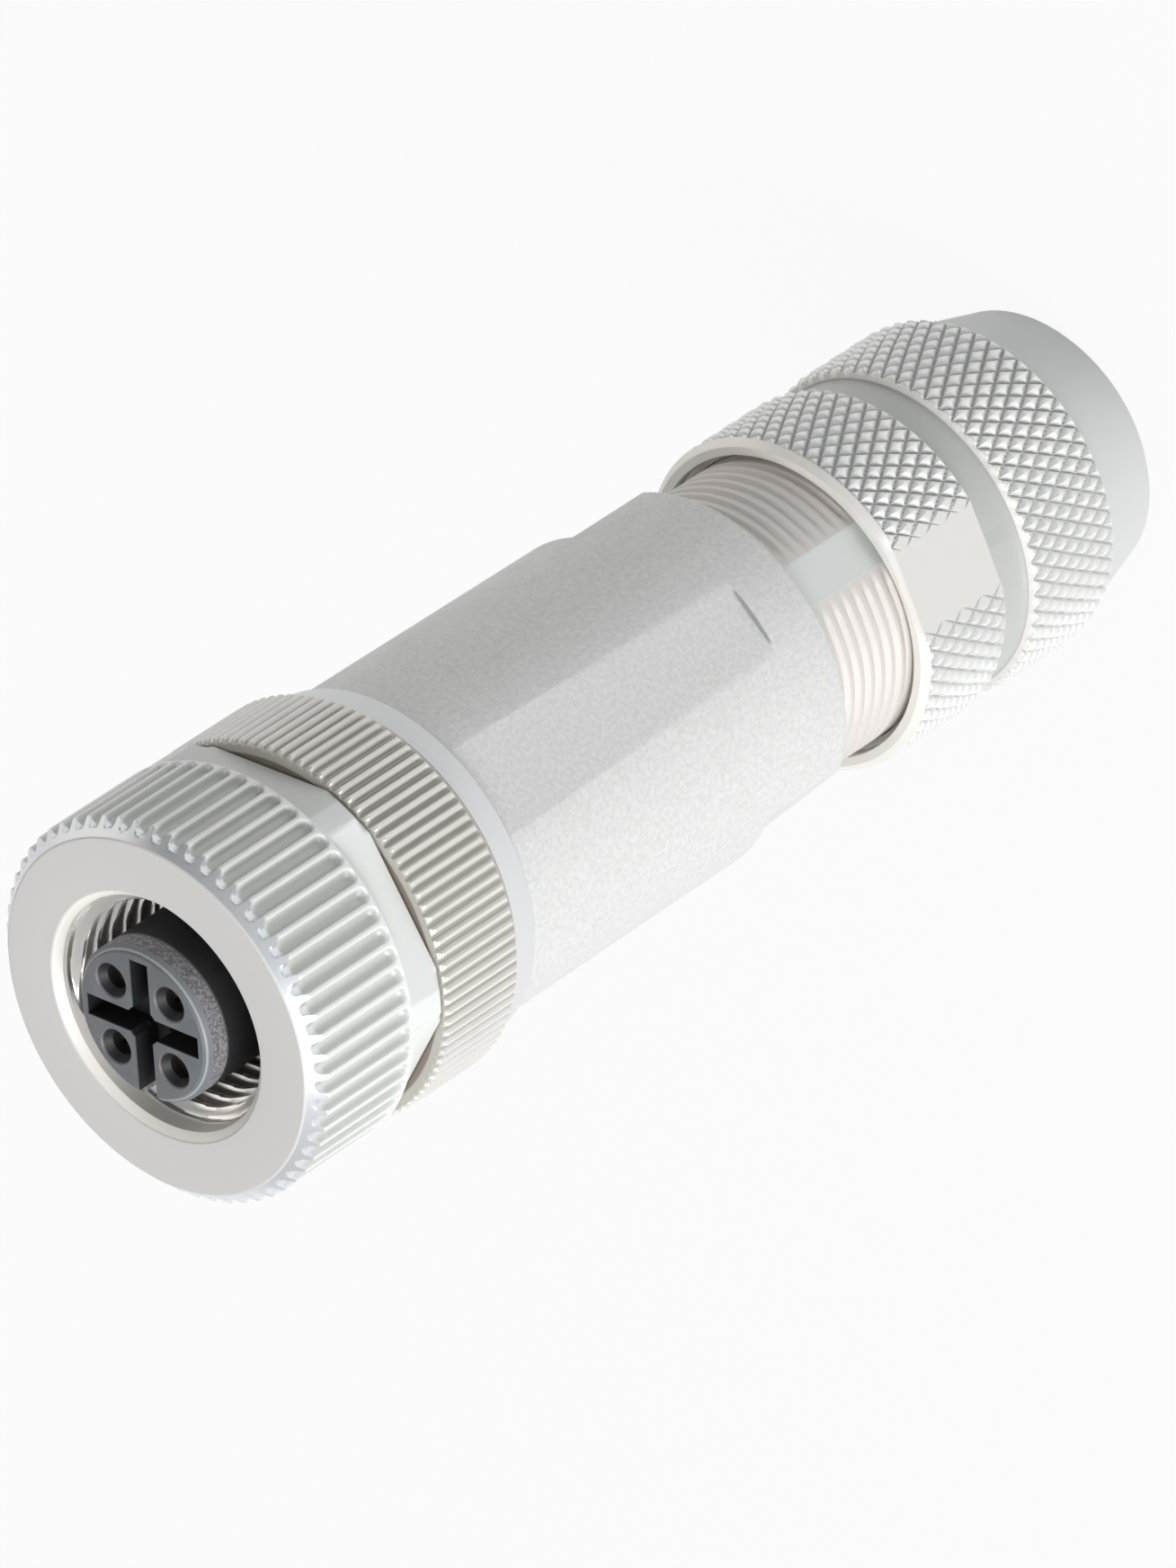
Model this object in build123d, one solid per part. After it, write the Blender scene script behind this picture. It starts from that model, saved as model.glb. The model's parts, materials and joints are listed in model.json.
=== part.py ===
from build123d import *
import math
import os

# Field-wireable round cable connector, four poles, female insert, inner M12 x 1 coupling thread.
# Millimetres. The connector stands on the flat rear end of its pressing nut, at z = 0.
# Its axis is +Z and its mating face looks up. The housing's shallow flats face +X and -X.

# Lengths along the axis, from the rear end to the mating face
nut_length = 19.1
visible_neck = 5.8
housing_length = 23.1
collar_length = 1.5
carrier_knurl_length = 5.65
ring_end_gap = 0.1
ring_length = 9.05
insert_proud = 0.9

# Clearances
thread_clearance = 0.05
running_clearance = 0.1
seat_clearance = 0.05
snug_clearance = 0.03

# Coupling ring
ring_crest_r = 10.0
ring_face_chamfer = 0.85
ring_hex_across_flats = 17.9
ring_hex_length = 2.35
ring_hex_turn = -14.2
ring_rear_chamfer = 0.4
flute_count = 60
flute_width = 0.76
flute_depth = 0.5
m12_minor_r = 5.46
m12_lead_r = 6.1
m12_lead_chamfer = 0.42
m12_lead_depth = 1.2
ring_rear_bore_depth = 2.35

# Carrier sleeve
crest_step = 0.05
carrier_tooth_depth = 0.32
carrier_tooth_count = 100
carrier_rear_chamfer = 0.7
carrier_front_chamfer = 0.2
collar_r = 9.25
carrier_neck_r = 6.6
carrier_neck_length = 2.15
skirt_r = 7.5
skirt_length = 7.0
carrier_bore_r = 6.05
carrier_seat_depth = 3.8
snap_groove_depth = 0.5
snap_groove_width = 0.7
snap_groove_lift = 0.75
seal_groove_r = 7.0
seal_groove_length = 1.1

# Insert nose and flange
nose_r = 4.1
nose_bevel = 0.35
flange_height = 3.0
contact_circle_r = 2.55
contact_count = 4
face_wall = 1.0
entry_r = 0.6
entry_cone_r = 0.95
entry_cone_depth = 0.45
slot_width = 1.15
slot_reach = 3.45
slot_depth = 1.6
keyway_turn = 225.0
keyway_floor_r = 2.75
centre_pocket_r = 1.0
centre_pocket_depth = 1.1

# Contacts, their spring sleeves and clamp screws
socket_r = 0.75
socket_bore_r = 0.52
socket_bore_depth = 8.0
socket_slit = 0.25
socket_slit_length = 6.0
spring_sleeve_wall = 0.17
spring_sleeve_length = 5.5
spring_sleeve_drop = 0.8
contact_collar_r = 1.2
barrel_r = 1.5
wire_bore_r = 0.85
wire_bore_depth = 9.0
screw_r = 0.7
screw_head_r = 1.1
screw_head_height = 0.8
screw_slot_width = 0.35
screw_slot_depth = 0.4
screw_height_above_block = 3.0
screw_seat_wall = 0.2
screw_window = 2.6

# Terminal block and its retaining ring
block_r = 5.2
block_length = 14.4
block_flange_length = 4.4
block_floor = 1.1
wire_entry_r = 0.95
retaining_ring_width = 0.8
retaining_ring_bite = 0.4
retaining_ring_gap = 2.2

# Seals
mating_seal_section_r = 0.5
carrier_seal_outer_r = 7.7

# Housing
housing_front_r = 8.9
housing_rear_r = 8.75
shoulder_chamfer = 0.3
grip_flat_across = 17.1
grip_flat_length = 19.75
wrench_flat_across = 16.12
wrench_flat_length = 5.3
chamber_r = 6.6
front_thread_depth = 9.0
gland_web = 1.8
gland_web_hole_r = 4.6
gland_bore_depth = 9.2
gland_bore_r = 6.3
neck_r = 7.6
neck_length = 13.9
neck_end_chamfer = 0.5
neck_land_half_angle = 8.5
neck_relief_length = 0.6
neck_relief_depth = 0.45

# Pressing nut
nut_crest_r = 8.8
nut_rear_r = 7.05
nut_rear_edge = 0.3
nut_cone_r = 8.3
nut_cone_length = 4.9
nut_band_edge = 0.25
knurl_count = 60
knurl_rows = 8
knurl_depth = 0.34
knurl_bed_wall = 0.2
nut_groove_r = 8.2
nut_groove_start = 10.8
nut_groove_end = 13.0
nut_front_r = 8.4
nut_front_bevel = 0.4
nut_flat_across = 16.45
nut_flat_turn = -22.2
nut_mouth_r = 7.95
nut_mouth_depth = 0.8
nut_thread_floor = 6.0
nut_end_wall = 2.4
nut_cavity_r = 6.45
cable_bore_r = 4.3
cable_bore_edge = 0.4

# Gland pieces, stacked on the nut's inner shoulder
washer_thickness = 1.0
washer_bore_r = 4.6
cage_r = 6.2
cage_wall = 0.55
cage_base_height = 1.5
cage_insertion = 1.3
cage_fingers = 8
cage_slot_width = 0.8
gasket_bore_r = 3.4
gasket_drop = 0.3
gasket_groove_depth = 0.35
gasket_groove_width = 1.2
shield_ring_height = 2.05
shield_ring_bore_r = 3.8
shield_ring_foot_r = 4.9

# Stations along the axis
shoulder_z = nut_length + visible_neck
housing_top_z = shoulder_z + housing_length
collar_top_z = housing_top_z + collar_length
carrier_face_z = collar_top_z + carrier_knurl_length
carrier_front_z = carrier_face_z + carrier_neck_length
ring_rear_z = carrier_face_z + ring_end_gap
ring_front_z = ring_rear_z + ring_length
insert_face_z = ring_front_z + insert_proud
neck_end_z = shoulder_z - neck_length
skirt_end_z = housing_top_z - skirt_length
flange_top_z = carrier_front_z - carrier_seat_depth - seat_clearance
flange_low_z = flange_top_z - flange_height
block_top_z = flange_low_z - seat_clearance
block_low_z = block_top_z - block_length
block_step_z = block_top_z - block_flange_length
gland_top_z = neck_end_z + gland_bore_depth
chamber_low_z = gland_top_z + gland_web
chamber_top_z = housing_top_z - front_thread_depth
snap_low_z = carrier_face_z + snap_groove_lift
washer_low_z = nut_end_wall + seat_clearance
stack_low_z = washer_low_z + washer_thickness + seat_clearance
cage_high_z = neck_end_z + cage_insertion
gasket_high_z = cage_high_z - gasket_drop

# Radii that follow from others
carrier_crest_r = ring_crest_r - crest_step
cage_inner_r = cage_r - cage_wall


def turned(outline):
    """Solid of revolution round the axis from (radius, height) points."""
    return revolve(Plane.XZ * make_face(Polyline(*outline, close=True)), Axis.Z)


def tube(outer_r, inner_r, low, high):
    """Plain ring between two heights."""
    return turned([(inner_r, low), (outer_r, low), (outer_r, high), (inner_r, high)])


def rod(radius, low, high):
    """Plain round bar on the axis."""
    return turned([(0, low), (radius, low), (radius, high), (0, high)])


def around(piece, count, start=0.0):
    """Copies of a piece spread evenly round the axis."""
    return [Rot(0, 0, start + 360.0 * step / count) * piece for step in range(count)]


def side_cut(across, low, high, turn, reach=20.0):
    """Tool that leaves two parallel flats, the given distance across."""
    height = high - low
    slab = Pos(across / 2 + reach / 2, 0, low + height / 2) * Box(reach, 2 * reach, height)
    return [Rot(0, 0, turn + side) * slab for side in (0, 180)]


def coupling_ring():
    """Fluted ring with a hexagon at its rear edge, shown with its thread at the minor radius."""
    bore_top = ring_rear_z + ring_rear_bore_depth
    rear_bore_r = carrier_neck_r + running_clearance
    lead_low = ring_front_z - m12_lead_depth
    body = turned([
        (rear_bore_r, ring_rear_z),
        (ring_crest_r - ring_rear_chamfer, ring_rear_z),
        (ring_crest_r, ring_rear_z + ring_rear_chamfer),
        (ring_crest_r, ring_front_z - ring_face_chamfer),
        (ring_crest_r - ring_face_chamfer, ring_front_z),
        (m12_lead_r + m12_lead_chamfer, ring_front_z),
        (m12_lead_r, ring_front_z - m12_lead_chamfer),
        (m12_lead_r, lead_low),
        (m12_minor_r, lead_low - (m12_lead_r - m12_minor_r)),
        (m12_minor_r, bore_top),
        (rear_bore_r, bore_top),
    ])
    flute_low = ring_rear_z + ring_hex_length
    floor_r = ring_crest_r - flute_depth
    flute_high = ring_front_z + 1.0
    half = flute_width / 2
    groove = make_face(Polyline(
        (-half, flute_low + half / 2),
        (-half / 2, flute_low),
        (half / 2, flute_low),
        (half, flute_low + half / 2),
        (half, flute_high),
        (-half, flute_high),
        close=True,
    ))
    floor = Plane(origin=(floor_r, 0, 0), x_dir=(0, 1, 0), z_dir=(1, 0, 0))
    flute = extrude(floor * groove, 2 * flute_depth)
    body = body - around(flute, flute_count)
    hexagon_low = ring_rear_z - 1.0
    hexagon = []
    for side in range(3):
        hexagon += side_cut(ring_hex_across_flats, hexagon_low, flute_low, ring_hex_turn + 60 * side)
    body = body - hexagon
    groove_r = carrier_neck_r + snap_groove_depth + running_clearance
    return body - tube(groove_r, rear_bore_r - 0.5, snap_low_z, snap_low_z + snap_groove_width)


def coupling_snap_ring():
    """Split wire ring, half in the carrier's groove and half in the coupling ring's."""
    low = snap_low_z + snug_clearance
    high = snap_low_z + snap_groove_width - snug_clearance
    inner_r = carrier_neck_r - snap_groove_depth + snug_clearance
    ring = tube(carrier_neck_r + snap_groove_depth - snug_clearance, inner_r, low, high)
    gap = Pos(-carrier_neck_r, 0, (low + high) / 2) * Box(2 * snap_groove_depth + 2, 1.2, 2)
    return ring - gap


def carrier_sleeve():
    """Knurled ring with a smooth collar, a front neck and a threaded skirt, bored for the insert."""
    knurl_root_r = carrier_crest_r - carrier_tooth_depth
    tooth = []
    for step in range(carrier_tooth_count):
        crest = math.radians(360.0 * step / carrier_tooth_count)
        root = math.radians(360.0 * (step + 0.5) / carrier_tooth_count)
        tooth.append((carrier_crest_r * math.cos(crest), carrier_crest_r * math.sin(crest)))
        tooth.append((knurl_root_r * math.cos(root), knurl_root_r * math.sin(root)))
    teeth = Pos(0, 0, collar_top_z) * extrude(make_face(Polyline(*tooth, close=True)), carrier_knurl_length)
    teeth = teeth & turned([
        (0, collar_top_z),
        (carrier_crest_r - carrier_rear_chamfer, collar_top_z),
        (carrier_crest_r, collar_top_z + carrier_rear_chamfer),
        (carrier_crest_r, carrier_face_z - carrier_front_chamfer),
        (carrier_crest_r - carrier_front_chamfer, carrier_face_z),
        (0, carrier_face_z),
    ])
    core = turned([
        (0, skirt_end_z),
        (skirt_r - neck_end_chamfer, skirt_end_z),
        (skirt_r, skirt_end_z + neck_end_chamfer),
        (skirt_r, housing_top_z - seal_groove_length),
        (seal_groove_r, housing_top_z - seal_groove_length),
        (seal_groove_r, housing_top_z),
        (collar_r, housing_top_z),
        (collar_r, collar_top_z),
        (carrier_neck_r, collar_top_z),
        (carrier_neck_r, snap_low_z),
        (carrier_neck_r - snap_groove_depth, snap_low_z),
        (carrier_neck_r - snap_groove_depth, snap_low_z + snap_groove_width),
        (carrier_neck_r, snap_low_z + snap_groove_width),
        (carrier_neck_r, carrier_front_z),
        (0, carrier_front_z),
    ])
    sleeve = core + teeth
    sleeve -= rod(carrier_bore_r, skirt_end_z - 1, flange_top_z + seat_clearance)
    sleeve -= rod(nose_r + seat_clearance, skirt_end_z - 1, carrier_front_z + 1)
    ring_top = block_step_z - snug_clearance
    ring_low = ring_top - retaining_ring_width - 2 * snug_clearance
    groove_r = carrier_bore_r + retaining_ring_bite
    sleeve -= tube(groove_r, carrier_bore_r - 1, ring_low, ring_top + snug_clearance)
    return sleeve


def mating_seal():
    """O-ring round the foot of the nose, on the carrier's front face, with an eight-sided section."""
    centre_r = nose_r + seat_clearance + mating_seal_section_r
    middle_z = carrier_front_z + mating_seal_section_r
    section = Pos(centre_r, middle_z) * RegularPolygon(
        mating_seal_section_r, 8, major_radius=False, rotation=22.5)
    return revolve(Plane.XZ * section, Axis.Z)


def carrier_seal():
    """Square-section ring between the carrier's skirt and the housing's mouth."""
    low = housing_top_z - seal_groove_length + snug_clearance
    high = housing_top_z - snug_clearance
    return tube(carrier_seal_outer_r, seal_groove_r + snug_clearance, low, high)


def contact_spots():
    """Angles of the four contacts."""
    return [360.0 * step / contact_count for step in range(contact_count)]


def bore_at(radius, low, high, turn):
    """Round tool along the axis, on the contact circle."""
    return Rot(0, 0, turn) * (Pos(contact_circle_r, 0, 0) * rod(radius, low, high))


def contact_insert():
    """Front insulator: nose with contact entries, slots and keyway, on a seating flange."""
    flange_r = carrier_bore_r - seat_clearance
    body = turned([
        (0, flange_low_z),
        (flange_r, flange_low_z),
        (flange_r, flange_top_z),
        (nose_r, flange_top_z),
        (nose_r, insert_face_z - nose_bevel),
        (nose_r - nose_bevel, insert_face_z),
        (0, insert_face_z),
    ])
    pocket_r = socket_r + spring_sleeve_wall + 2 * snug_clearance
    for turn in contact_spots():
        body -= bore_at(pocket_r, flange_low_z - 1, insert_face_z - face_wall, turn)
        body -= bore_at(contact_collar_r + snug_clearance, flange_low_z - 1, flange_top_z, turn)
        cone = turned([
            (0, insert_face_z - face_wall - 1),
            (entry_r, insert_face_z - face_wall - 1),
            (entry_r, insert_face_z - entry_cone_depth),
            (entry_cone_r, insert_face_z),
            (entry_cone_r, insert_face_z + 1),
            (0, insert_face_z + 1),
        ])
        body -= Rot(0, 0, turn) * (Pos(contact_circle_r, 0, 0) * cone)
    for turn in contact_spots():
        slot = Pos(slot_reach / 2, 0, insert_face_z) * Box(slot_reach, slot_width, 2 * slot_depth)
        body -= Rot(0, 0, turn + 180.0 / contact_count) * slot
    body -= rod(centre_pocket_r, insert_face_z - centre_pocket_depth, insert_face_z + 1)
    key_height = insert_face_z - carrier_front_z
    keyway = Pos(keyway_floor_r + nose_r / 2, 0, insert_face_z) * Box(nose_r, slot_width, 2 * key_height)
    return body - Rot(0, 0, keyway_turn) * keyway


def terminal_block():
    """Rear insulator with a pocket for each barrel and a side hole for each clamp screw."""
    body = turned([
        (0, block_low_z),
        (block_r, block_low_z),
        (block_r, block_step_z),
        (carrier_bore_r - seat_clearance, block_step_z),
        (carrier_bore_r - seat_clearance, block_top_z),
        (0, block_top_z),
    ])
    screw_z = block_low_z + screw_height_above_block
    head_seat_r = contact_circle_r + barrel_r + snug_clearance + screw_seat_wall
    for turn in contact_spots():
        body -= bore_at(barrel_r + snug_clearance, block_low_z + block_floor, block_top_z + 1, turn)
        body -= bore_at(wire_entry_r, block_low_z - 1, block_low_z + block_floor + 1, turn)
        shank = Pos(contact_circle_r, 0, screw_z) * (Rot(0, 90, 0) * Cylinder(
            screw_r + snug_clearance, block_r, align=(Align.CENTER, Align.CENTER, Align.MIN)))
        window = Pos(head_seat_r + block_r / 2, 0, screw_z) * Box(block_r, screw_window, screw_window)
        body -= Rot(0, 0, turn) * (shank + window)
    return body


def contact(turn):
    """Slit socket in front, seating collar, and a barrel that takes the wire."""
    tip_z = insert_face_z - face_wall - snug_clearance
    collar_high = flange_top_z - snug_clearance
    barrel_low = block_low_z + block_floor + snug_clearance
    pin = turned([
        (0, barrel_low),
        (barrel_r, barrel_low),
        (barrel_r, block_top_z - snug_clearance),
        (contact_collar_r, block_top_z - snug_clearance),
        (contact_collar_r, collar_high),
        (socket_r, collar_high),
        (socket_r, tip_z),
        (0, tip_z),
    ])
    pin -= rod(socket_bore_r, tip_z - socket_bore_depth, tip_z + 1)
    pin -= Pos(0, 0, tip_z) * Box(2 * barrel_r, socket_slit, 2 * socket_slit_length)
    pin -= rod(wire_bore_r, barrel_low - 1, barrel_low + wire_bore_depth)
    screw_z = block_low_z + screw_height_above_block
    pin -= Pos(0, 0, screw_z) * (Rot(0, 90, 0) * Cylinder(
        screw_r + snug_clearance, 2 * barrel_r, align=(Align.CENTER, Align.CENTER, Align.MIN)))
    return Rot(0, 0, turn) * (Pos(contact_circle_r, 0, 0) * pin)


def contact_sleeves():
    """Spring sleeve round each slit socket."""
    high = insert_face_z - face_wall - spring_sleeve_drop
    inner_r = socket_r + snug_clearance
    sleeve = tube(inner_r + spring_sleeve_wall, inner_r, high - spring_sleeve_length, high)
    sleeve -= Pos(-inner_r, 0, high - spring_sleeve_length / 2) * Box(1, 0.2, spring_sleeve_length + 1)
    sleeve = Pos(contact_circle_r, 0, 0) * sleeve
    return [Rot(0, 0, turn) * sleeve for turn in contact_spots()]


def terminal_screws():
    """Slotted clamp screw in the side of each barrel."""
    screw_z = block_low_z + screw_height_above_block
    head_low = contact_circle_r + barrel_r + screw_seat_wall + 2 * snug_clearance
    tip = contact_circle_r + wire_bore_r - 0.25
    screw = turned([
        (0, tip),
        (screw_r, tip),
        (screw_r, head_low),
        (screw_head_r, head_low),
        (screw_head_r, head_low + screw_head_height),
        (0, head_low + screw_head_height),
    ])
    screw -= Pos(0, 0, head_low + screw_head_height) * Box(
        3 * screw_head_r, screw_slot_width, 2 * screw_slot_depth)
    screw = Pos(0, 0, screw_z) * (Rot(0, 90, 0) * screw)
    return [Rot(0, 0, turn) * screw for turn in contact_spots()]


def insert_retaining_ring():
    """Split ring behind the terminal block's flange."""
    high = block_step_z - 2 * snug_clearance
    low = high - retaining_ring_width
    ring = tube(carrier_bore_r + retaining_ring_bite - snug_clearance, block_r + snug_clearance, low, high)
    gap = Pos(-carrier_bore_r, 0, (low + high) / 2) * Box(
        2 * retaining_ring_gap, retaining_ring_gap, 2 * retaining_ring_width)
    return ring - gap


def housing():
    """Round cast shell with flats, a threaded mouth, a wiring chamber and the gland neck."""
    body = turned([
        (0, neck_end_z),
        (neck_r - neck_end_chamfer, neck_end_z),
        (neck_r, neck_end_z + neck_end_chamfer),
        (neck_r, shoulder_z - neck_relief_length),
        (neck_r - neck_relief_depth, shoulder_z - neck_relief_length),
        (neck_r - neck_relief_depth, shoulder_z),
        (housing_rear_r - shoulder_chamfer, shoulder_z),
        (housing_rear_r, shoulder_z + shoulder_chamfer),
        (housing_front_r, housing_top_z),
        (0, housing_top_z),
    ])
    grip_low = housing_top_z - grip_flat_length
    body = body - side_cut(grip_flat_across, grip_low, housing_top_z + 1, 0)
    wrench_high = shoulder_z + wrench_flat_length
    body = body - side_cut(wrench_flat_across, shoulder_z, wrench_high, 90)
    land_across = 2 * neck_r * math.cos(math.radians(neck_land_half_angle))
    body = body - side_cut(land_across, neck_end_z - 1, shoulder_z, 0)
    mouth_r = carrier_seal_outer_r + running_clearance
    body -= rod(mouth_r, housing_top_z - seal_groove_length, housing_top_z + 1)
    body -= rod(skirt_r + thread_clearance, chamber_top_z, housing_top_z)
    body -= rod(chamber_r, chamber_low_z, chamber_top_z + 1)
    body -= rod(gland_web_hole_r, gland_top_z - 1, chamber_low_z + 1)
    body -= rod(gland_bore_r, neck_end_z - 1, gland_top_z)
    return body


def flat_face(corners):
    """Flat face through corner points."""
    return Face(Wire.make_polygon(corners, close=True))


def knurl_row(row, height):
    """Corner points of one row of the knurl, root and crest by turns, with both end rows lowered."""
    ring = []
    for column in range(2 * knurl_count):
        radius = nut_crest_r - knurl_depth
        if (row + column) % 2:
            radius = nut_crest_r - (nut_band_edge if row in (0, knurl_rows) else 0)
        turn = math.pi * column / knurl_count
        ring.append(Vector(radius * math.cos(turn), radius * math.sin(turn), height))
    return ring


def knurled_band(inner_r, low, high):
    """Ring whose outside is rows of four-sided pyramids, between right-hand and left-hand grooves."""
    rows = [knurl_row(row, low + (high - low) * row / knurl_rows) for row in range(knurl_rows + 1)]
    faces = [flat_face(rows[0]), flat_face(rows[-1])]
    for row in range(knurl_rows):
        for column in range(2 * knurl_count):
            after = (column + 1) % (2 * knurl_count)
            a, b = rows[row][column], rows[row][after]
            c, d = rows[row + 1][after], rows[row + 1][column]
            if (row + column) % 2:
                faces += [flat_face([a, b, d]), flat_face([b, c, d])]
            else:
                faces += [flat_face([a, b, c]), flat_face([a, c, d])]
    return Solid(Shell(faces)) - rod(inner_r, low - 1, high + 1)


def pressing_nut():
    """Gland nut with two knurled bands, a plain groove, a pair of flats and a rear cone."""
    thread_r = neck_r + thread_clearance
    mouth_low = nut_length - nut_mouth_depth
    front_band_high = nut_length - nut_front_bevel
    body = turned([
        (cable_bore_r + cable_bore_edge, 0),
        (nut_rear_r - nut_rear_edge, 0),
        (nut_rear_r, nut_rear_edge),
        (nut_cone_r, nut_cone_length),
        (nut_groove_r, nut_cone_length),
        (nut_groove_r, front_band_high),
        (nut_front_r, front_band_high),
        (nut_front_r, nut_length),
        (nut_mouth_r, nut_length),
        (nut_mouth_r, mouth_low),
        (thread_r, mouth_low),
        (thread_r, nut_thread_floor),
        (nut_cavity_r, nut_thread_floor),
        (nut_cavity_r, nut_end_wall),
        (cable_bore_r, nut_end_wall),
        (cable_bore_r, cable_bore_edge),
    ])
    bed_r = thread_r + knurl_bed_wall
    body += knurled_band(bed_r, nut_cone_length, nut_groove_start)
    body += knurled_band(bed_r, nut_groove_end, front_band_high)
    return body - side_cut(nut_flat_across, nut_groove_end, nut_length + 1, nut_flat_turn)


def thrust_washer():
    """Plain washer that keeps the turning nut off the gasket."""
    outer_r = nut_cavity_r - running_clearance
    return tube(outer_r, washer_bore_r, washer_low_z, washer_low_z + washer_thickness)


def clamping_cage():
    """Plastic ring with fingers that close on the gasket."""
    cage = tube(cage_r, cage_inner_r, stack_low_z, cage_high_z)
    slot_low = stack_low_z + cage_base_height
    slot_height = cage_high_z - slot_low + 1
    slot = Pos(cage_r, 0, slot_low + slot_height / 2) * Box(6 * cage_wall, cage_slot_width, slot_height)
    return cage - around(slot, cage_fingers)


def cable_gasket():
    """Rubber sleeve with two shallow grooves in its bore."""
    sleeve = tube(cage_inner_r - seat_clearance, gasket_bore_r, stack_low_z, gasket_high_z)
    half = gasket_groove_width / 2
    for share in (1, 3):
        middle = stack_low_z + (gasket_high_z - stack_low_z) * share / 4
        sleeve -= tube(gasket_bore_r + gasket_groove_depth, gasket_bore_r - 1, middle - half, middle + half)
    return sleeve


def shield_ring():
    """Metal ring with a coned foot that presses the cable's braid outwards."""
    low = cage_high_z + seat_clearance
    high = low + shield_ring_height
    outer_r = cage_r - cage_wall / 2
    return turned([
        (shield_ring_bore_r, low),
        (shield_ring_foot_r, low),
        (outer_r, low + shield_ring_height / 2),
        (outer_r, high),
        (shield_ring_bore_r, high),
    ])


def write_node(name, solids):
    """Writes one named piece, or a group of like pieces, as one file."""
    solids = solids if isinstance(solids, list) else [solids]
    pieces = []
    for solid in solids:
        pieces += solid.solids()
    shape = pieces[0] if len(pieces) == 1 else Compound(children=pieces)
    shape.label = name
    export_step(shape, os.path.join("parts", name + ".step"))


def main():
    os.makedirs("parts", exist_ok=True)
    write_node("coupling_ring", coupling_ring())
    write_node("coupling_snap_ring", coupling_snap_ring())
    write_node("carrier_sleeve", carrier_sleeve())
    write_node("mating_seal", mating_seal())
    write_node("carrier_seal", carrier_seal())
    write_node("contact_insert", contact_insert())
    write_node("terminal_block", terminal_block())
    for number, turn in enumerate(contact_spots(), start=1):
        write_node("contact_%d" % number, contact(turn))
    write_node("contact_sleeves", contact_sleeves())
    write_node("terminal_screws", terminal_screws())
    write_node("insert_retaining_ring", insert_retaining_ring())
    write_node("housing", housing())
    write_node("pressing_nut", pressing_nut())
    write_node("thrust_washer", thrust_washer())
    write_node("clamping_cage", clamping_cage())
    write_node("cable_gasket", cable_gasket())
    write_node("shield_ring", shield_ring())


main()
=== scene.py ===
"""Looks of the cable connector: detailed meshes, finishes, floor, light and camera. Lengths in metres."""
import json
import math
import bpy
import numpy as np
from mathutils import Matrix, Vector


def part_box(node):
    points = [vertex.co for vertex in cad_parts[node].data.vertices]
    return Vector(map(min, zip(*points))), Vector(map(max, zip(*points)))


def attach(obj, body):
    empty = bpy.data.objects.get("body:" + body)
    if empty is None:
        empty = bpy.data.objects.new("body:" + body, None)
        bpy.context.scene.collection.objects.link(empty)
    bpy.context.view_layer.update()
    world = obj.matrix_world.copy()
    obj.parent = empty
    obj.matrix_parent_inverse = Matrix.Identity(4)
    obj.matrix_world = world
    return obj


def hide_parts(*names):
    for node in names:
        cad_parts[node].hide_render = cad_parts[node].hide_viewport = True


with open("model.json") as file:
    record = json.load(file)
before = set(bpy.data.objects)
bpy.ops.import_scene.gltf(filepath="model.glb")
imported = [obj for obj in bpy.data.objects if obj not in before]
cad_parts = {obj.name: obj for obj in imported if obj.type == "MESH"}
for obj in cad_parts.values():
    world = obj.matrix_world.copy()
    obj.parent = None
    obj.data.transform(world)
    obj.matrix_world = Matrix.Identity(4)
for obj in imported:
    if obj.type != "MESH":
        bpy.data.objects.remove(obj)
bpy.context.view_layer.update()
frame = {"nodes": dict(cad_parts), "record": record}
MM = 0.001

# Stations along the axis, from the frame
nut_low, nut_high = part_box("pressing_nut")
housing_low, housing_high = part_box("housing")
carrier_low, carrier_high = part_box("carrier_sleeve")
ring_low, ring_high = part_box("coupling_ring")
insert_low, insert_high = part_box("contact_insert")
NUT_FRONT = nut_high.z
NECK_END = housing_low.z
HOUSING_TOP = housing_high.z
SKIRT_END = carrier_low.z
CARRIER_FRONT = carrier_high.z
RING_REAR = ring_low.z
RING_FRONT = ring_high.z
SHOULDER = NECK_END + 13.9 * MM
WRENCH_TOP = SHOULDER + 5.3 * MM
GRIP_LOW = HOUSING_TOP - 19.75 * MM
SEAL_SEAT = HOUSING_TOP - 1.1 * MM
COLLAR_TOP = HOUSING_TOP + 1.5 * MM
CARRIER_FACE = CARRIER_FRONT - 2.15 * MM
SNAP_LOW = CARRIER_FACE + 0.75 * MM
SNAP_HIGH = SNAP_LOW + 0.7 * MM
HEX_TOP = RING_FRONT - 6.7 * MM
TAU = 2 * math.pi

# Sizes of the coupling ring
flute_count = 60
flute_half = 0.38 * MM
flute_deep = 0.5 * MM
ring_crest = 10.0 * MM
ring_chamfer = 0.85 * MM
ring_bore = 6.7 * MM
ring_snap_r = 7.2 * MM
hex_flat = 8.95 * MM
hex_turn = math.radians(-14.2)
m12_minor = 5.46 * MM
m12_major = 6.0 * MM
m12_pitch = 1.0 * MM
m12_top = RING_FRONT - 0.6 * MM
m12_start = math.radians(165)
lead_r = 6.1 * MM
lead_bevel = 0.42 * MM

# Sizes of the carrier sleeve
tooth_count = 100
tooth_deep = 0.32 * MM
carrier_crest = 9.95 * MM
collar_r = 9.25 * MM
carrier_neck = 6.6 * MM
carrier_bore = 6.05 * MM
retainer_deep = 0.4 * MM
retainer_low = SKIRT_END + 4.11 * MM
retainer_high = SKIRT_END + 5.03 * MM
skirt_r = 7.5 * MM
seal_groove_r = 7.0 * MM
nose_hole = 4.15 * MM
insert_seat = CARRIER_FRONT - 3.8 * MM

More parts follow.
